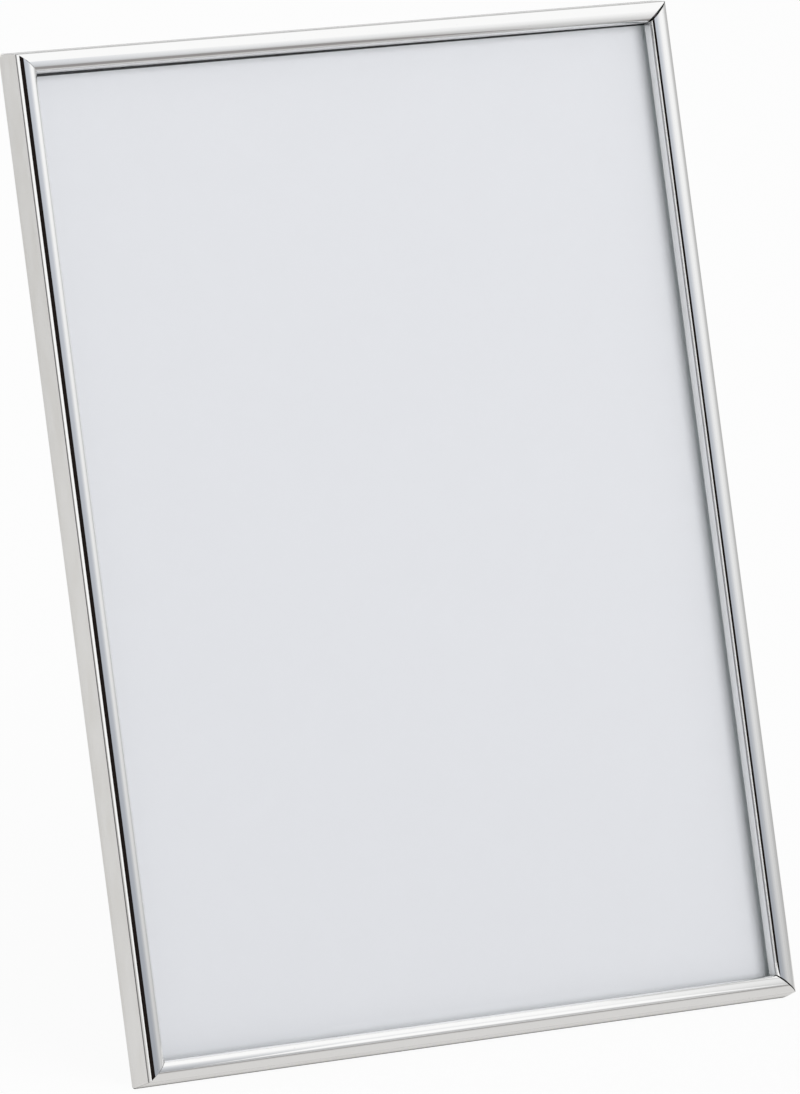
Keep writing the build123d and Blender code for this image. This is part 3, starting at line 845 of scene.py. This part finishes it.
# Rivets: soft nickel-plated steel rivets, one for each turn button and hanger and two for each hinge leaf.
# The tail is spread flush into a countersink on the front, and the domed head is on the rear.
SHANK_R, TAIL_R = 0.9 * MM, 1.3 * MM
HEAD_R, HEAD_H, HEAD_ROUND = 1.7 * MM, 0.8 * MM, 0.7 * MM
HEAD_STEPS, RIVET_SIDES = 6, 28
UNDER_HEAD = 0.999


def rivet_rule():
    """A turned rivet on each place: its girth is given at stations from the tail to the crown of the head."""
    kinds = ("Grip", "Shank Radius", "Tail Radius", "Head Radius", "Head Height", "Head Rounding")
    sizes = {"Stand": "Vector", "Sides": "Int"} | dict.fromkeys(kinds, "Float")
    tree, wire, given = new_rule("rivets", sizes)
    grip, shank, tail, head, height, rounding = [given[kind] for kind in kinds]
    stations = [(grip * 0, tail), (tail - shank, shank), (grip * UNDER_HEAD, shank), (grip * 1, head)]
    for step in range(HEAD_STEPS + 1):
        angle = pi / 2 * step / HEAD_STEPS
        stations.append((grip + height + rounding * (sin(angle) - 1), head + rounding * (cos(angle) - 1)))
    index = wire.add("GeometryNodeInputIndex")
    at, girth = [
        wire.add(
            "GeometryNodeIndexSwitch",
            {"data_type": "FLOAT", "items": len(stations)},
            {"Index": index} | {str(k): station[which] for k, station in enumerate(stations)},
        )
        for which in (0, 1)
    ]
    axis = wire.add("GeometryNodeMeshLine", None, {"Count": len(stations)})
    spot = wire.add("ShaderNodeCombineXYZ", None, {"Z": at})
    axis = wire.add("GeometryNodeSetPosition", None, {"Geometry": axis, "Position": spot})
    axis = wire.add("GeometryNodeMeshToCurve", None, {"Mesh": axis})
    turned = wire.add("GeometryNodeCurvePrimitiveCircle", None, {"Resolution": given["Sides"], "Radius": 1.0})
    turning = {"Curve": axis, "Profile Curve": turned, "Scale": girth, "Fill Caps": True}
    rivet = wire.add("GeometryNodeCurveToMesh", None, turning)
    stand = wire.add("FunctionNodeAlignRotationToVector", {"axis": "Z"}, {"Vector": given["Stand"]})
    placed = {"Points": given["Places"], "Instance": rivet, "Rotation": stand}
    end_rule(wire, wire.add("GeometryNodeInstanceOnPoints", None, placed), nickel)
    return tree


turned_rivet = rivet_rule()
rivet_sizes = {"Shank Radius": SHANK_R, "Tail Radius": TAIL_R, "Head Radius": HEAD_R, "Head Height": HEAD_H}
rivet_sizes |= {"Head Rounding": HEAD_ROUND, "Sides": RIVET_SIDES}
on_board = [on_frame(x, u, BOARD_FRONT) for x, u in button_rivets + board_hinge_rivets + hanger_rivets]
on_leg = [on_strut(x, v, STRUT_FRONT + LEAF_T) for x, v in strut_rivets]
hinge_from, hanger_from = len(button_rivets), len(button_rivets) + len(board_hinge_rivets)
rivet_groups = {
    "button_rivets": ("frame", on_board[:hinge_from], BOARD_T + BUTTON_T + 2 * BUTTON_PLAY, outward),
    "hinge_board_rivets": ("frame", on_board[hinge_from:hanger_from], BOARD_T + LEAF_T, outward),
    "hanger_rivets": ("frame", on_board[hanger_from:], BOARD_T + STRAP_T, outward),
    "hinge_strut_rivets": ("strut", on_leg, STRUT_T + LEAF_T, strut_out),
}
for name, (body, places, grip, facing) in rivet_groups.items():
    sizes = rivet_sizes | {"Grip": grip, "Stand": -facing}
    mesh = follow_rule(f"domed_{name}", turned_rivet, sizes, places)
    finished(f"domed_{name}", mesh, body, "plated_steel", name)

# Stage: a pale table under the frame, a soft key light from the right and above with a weaker one behind,
# an even white room, and glowing studio cards round the frame that only mirrored rays see: painted
# reflections.
FLOOR_HALF = 3.0
FLOOR_GLOW_SEEN, FLOOR_GLOW_MIRRORED = 0.94, 0.9
FLOOR_BEHIND, FLOOR_REACH = 1.0, 1.2


def pale_table():
    """White to the eye with the frame's shadow kept; to mirrored rays it glows in painted greys in place of
    the lit floor.
    """
    material, wire = new_finish("pale_table")
    where = wire.add("ShaderNodeTexCoord", out=3)
    eye, mirror = [wire.add("ShaderNodeLightPath", out=name) for name in ("Is Camera Ray", "Is Glossy Ray")]
    depth = wire.add("ShaderNodeSeparateXYZ", None, {0: where}, out=1)
    forward = (FLOOR_BEHIND - depth) / (FLOOR_BEHIND + FLOOR_REACH)
    # Painted greys that glow for mirrored rays: pale grey behind the frame, a dark painted band 6 to 18 cm in
    # front of it, and near white beyond.
    tones = [
        (0.77, (0.56, 0.55, 0.535)),
        (0.43, (0.7, 0.69, 0.675)),
        (0.1, (0.67, 0.66, 0.645)),
        (-0.04, (0.7, 0.69, 0.68)),
        (-0.06, (0.28, 0.265, 0.26)),
        (-0.175, (0.265, 0.25, 0.245)),
        (-0.32, (0.46, 0.46, 0.47)),
        (-0.55, (0.86, 0.86, 0.87)),
        (-1.2, (0.97, 0.97, 0.97)),
    ]
    stops = [((FLOOR_BEHIND - y) / (FLOOR_BEHIND + FLOOR_REACH), tone) for y, tone in tones]
    painted_floor_greys = wire.add("ShaderNodeValToRGB", {"stops": stops}, {0: forward})
    glow = wire.add("ShaderNodeEmission", None, {"Color": eye.tint(painted_floor_greys, (1.0, 1.0, 1.0)), "Strength": 1.0})
    matt = wire.add("ShaderNodeBsdfDiffuse", None, {"Color": (0.97, 0.97, 0.97, 1.0)})
    share = eye * FLOOR_GLOW_SEEN + mirror * FLOOR_GLOW_MIRRORED
    surface(wire, wire.add("ShaderNodeMixShader", None, {0: share, 1: matt, 2: glow}))
    return material


floor_mesh = bpy.data.meshes.new("table")
floor_corners = rectangle(0, 0, 2 * FLOOR_HALF, 2 * FLOOR_HALF)
floor_mesh.from_pydata([(x, y, 0.0) for x, y in floor_corners], [], [(0, 1, 2, 3)])
floor_mesh.materials.append(pale_table())
floor = bpy.data.objects.new("table", floor_mesh)
bpy.context.scene.collection.objects.link(floor)


def card_paint():
    """Studio cards that glow in even runs of black, grey and white: painted reflections for the bright metal.
    """
    material, wire = new_finish("card_paint")
    paint = wire.add("ShaderNodeAttribute", {"attribute_name": "paint"})
    surface(wire, wire.add("ShaderNodeEmission", None, {"Color": paint, "Strength": 1.0}))
    return material


def studio_card(name, levels, stations, tops=None):
    """A card that stands across the frame: each station has a place across, one out of the front, and tones
    by level. Its upper edge can be cut lower at each station."""
    tops = tops or [levels[-1]] * len(stations)
    points, faces, colours = [], [], []
    spans = zip(stations, stations[1:], tops, tops[1:])
    for (x0, n0, *tones0), (x1, n1, *tones1), top0, top1 in spans:
        for k, (low, high) in enumerate(zip(levels, levels[1:])):
            first = len(points)
            near, far = [(min(low, top), min(high, top)) for top in (top0, top1)]
            corners = ((x0, near[0], n0), (x1, far[0], n1), (x1, far[1], n1), (x0, near[1], n0))
            points += [on_frame(x * MM, u * MM, n * MM) for x, u, n in corners]
            faces.append(tuple(range(first, first + 4)))
            colours += [tones0[k], tones1[k], tones1[k + 1], tones0[k + 1]]
    mesh = bpy.data.meshes.new(name)
    mesh.from_pydata(points, [], faces)
    paint = mesh.attributes.new("paint", "FLOAT_COLOR", "CORNER")
    paint.data.foreach_set("color", [value for colour in colours for value in (*colour, 1.0)])
    mesh.materials.append(card_finish)
    card = bpy.data.objects.new(name, mesh)
    bpy.context.scene.collection.objects.link(card)
    card.visible_camera = card.visible_diffuse = card.visible_transmission = card.visible_shadow = False


def grey(level, blue=0.0):
    return (level * (1 - blue / 2), level, level * (1 + blue))


card_finish = card_paint()
black, white = (0.013, 0.01, 0.009), (1.0, 1.0, 1.0)
studio_card("black_flag", (-45, 230), [(-155, 26, black, black), (-143, 135, black, black)])
card_levels = (-45, 90, 216)
grey_stations = [
    (-143, 135, grey(0.33, 0.12), grey(0.47, 0.11), grey(0.56, 0.1)),
    (-45, 165, grey(0.33, 0.1), grey(0.51, 0.09), grey(0.63, 0.08)),
    (20, 180, grey(0.36, 0.05), grey(0.62, 0.05), grey(0.8, 0.04)),
    (80, 190, grey(0.46, 0.03), grey(0.77, 0.02), grey(0.97)),
    (160, 195, grey(0.54), grey(0.84), white),
]
studio_card("grey_card", card_levels, grey_stations)
side_stations = [
    (160, 195, grey(0.54), grey(0.84), white),
    (152, 120, grey(0.5), grey(0.8), white),
    (150, 60, grey(0.52), grey(0.76), grey(0.95)),
    (150, 10, grey(0.5), grey(0.55), grey(0.6)),
    (150, -50, grey(0.4), grey(0.42), grey(0.45)),
]
studio_card("side_card", card_levels, side_stations)
# A glowing strip 6 mm in front of the bottom rail's bead, grey below and white above: a painted reflection
# along the bead.
strip_tones = (grey(0.45), white, white)
strip_out, strip_levels = 6, (1.2, 2.6, 5.2)
strip_tops = {-56: 1.3, -38: 3.3, -22: 5.2, 36: 5.2, 53: 3.3, 69: 1.3}
strip_stations = [(x, strip_out, *strip_tones) for x in strip_tops]
studio_card("white_strip", strip_levels, strip_stations, list(strip_tops.values()))
back_tones = (grey(0.55), grey(0.55), grey(0.6))
studio_card("back_card", (330, 500, 660), [(-600, -1000, *back_tones), (1900, -1000, *back_tones)])


def soft_box(name, place, watts, size):
    """A square soft box that faces the middle of the frame, and that the bright metal doesn't mirror."""
    light = bpy.data.lights.new(name, "AREA")
    light.energy, light.size = watts, size
    box = bpy.data.objects.new(name, light)
    box.location = place
    box.rotation_euler = (on_frame(0, OUTER_H / 2) - box.location).to_track_quat("-Z", "Y").to_euler()
    box.visible_glossy = False
    bpy.context.scene.collection.objects.link(box)


soft_box("front_box", (0.72, -3.67, 1.38), 97.0, 2.55)
soft_box("rear_box", (-0.9, 2.4, 0.8), 28.0, 1.2)

ROOM_LEVEL = 0.4
world = bpy.data.worlds.new("room")
world.use_nodes = True
world.node_tree.nodes.clear()
room = Wire(world.node_tree)
ray_kinds = ("Is Camera Ray", "Is Glossy Ray", "Is Transmission Ray")
rays = [room.add("ShaderNodeLightPath", out=kind) for kind in ray_kinds]
seen = room.maths("MAXIMUM", room.maths("MAXIMUM", rays[0], rays[1]), rays[2])
level = seen * (1 - ROOM_LEVEL) + ROOM_LEVEL
lit = room.add("ShaderNodeBackground", None, {"Color": (1.0, 1.0, 1.0, 1.0), "Strength": level})
room.add("ShaderNodeOutputWorld", None, {"Surface": lit}, out=None)
bpy.context.scene.world = world

# Camera: a long lens from the front left and a little above, as the photograph was taken.
CAMERA_AZ, CAMERA_EL, CAMERA_DISTANCE = radians(29.177), radians(11.585), 1.72027
CAMERA_LENS, CAMERA_SENSOR = 313.768, 36.0
CAMERA_AIM = on_frame(-2.893 * MM, 89.371 * MM)
camera_data = bpy.data.cameras.new("camera")
camera_data.sensor_fit = "VERTICAL"
camera_data.sensor_height = CAMERA_SENSOR
camera_data.lens = CAMERA_LENS
camera = bpy.data.objects.new("camera", camera_data)
looking = Vector((sin(CAMERA_AZ) * cos(CAMERA_EL), cos(CAMERA_AZ) * cos(CAMERA_EL), -sin(CAMERA_EL)))
camera.location = CAMERA_AIM - looking * CAMERA_DISTANCE
camera.rotation_euler = looking.to_track_quat("-Z", "Y").to_euler()
bpy.context.scene.collection.objects.link(camera)
bpy.context.scene.camera = camera
bpy.context.scene.view_settings.view_transform = "Standard"
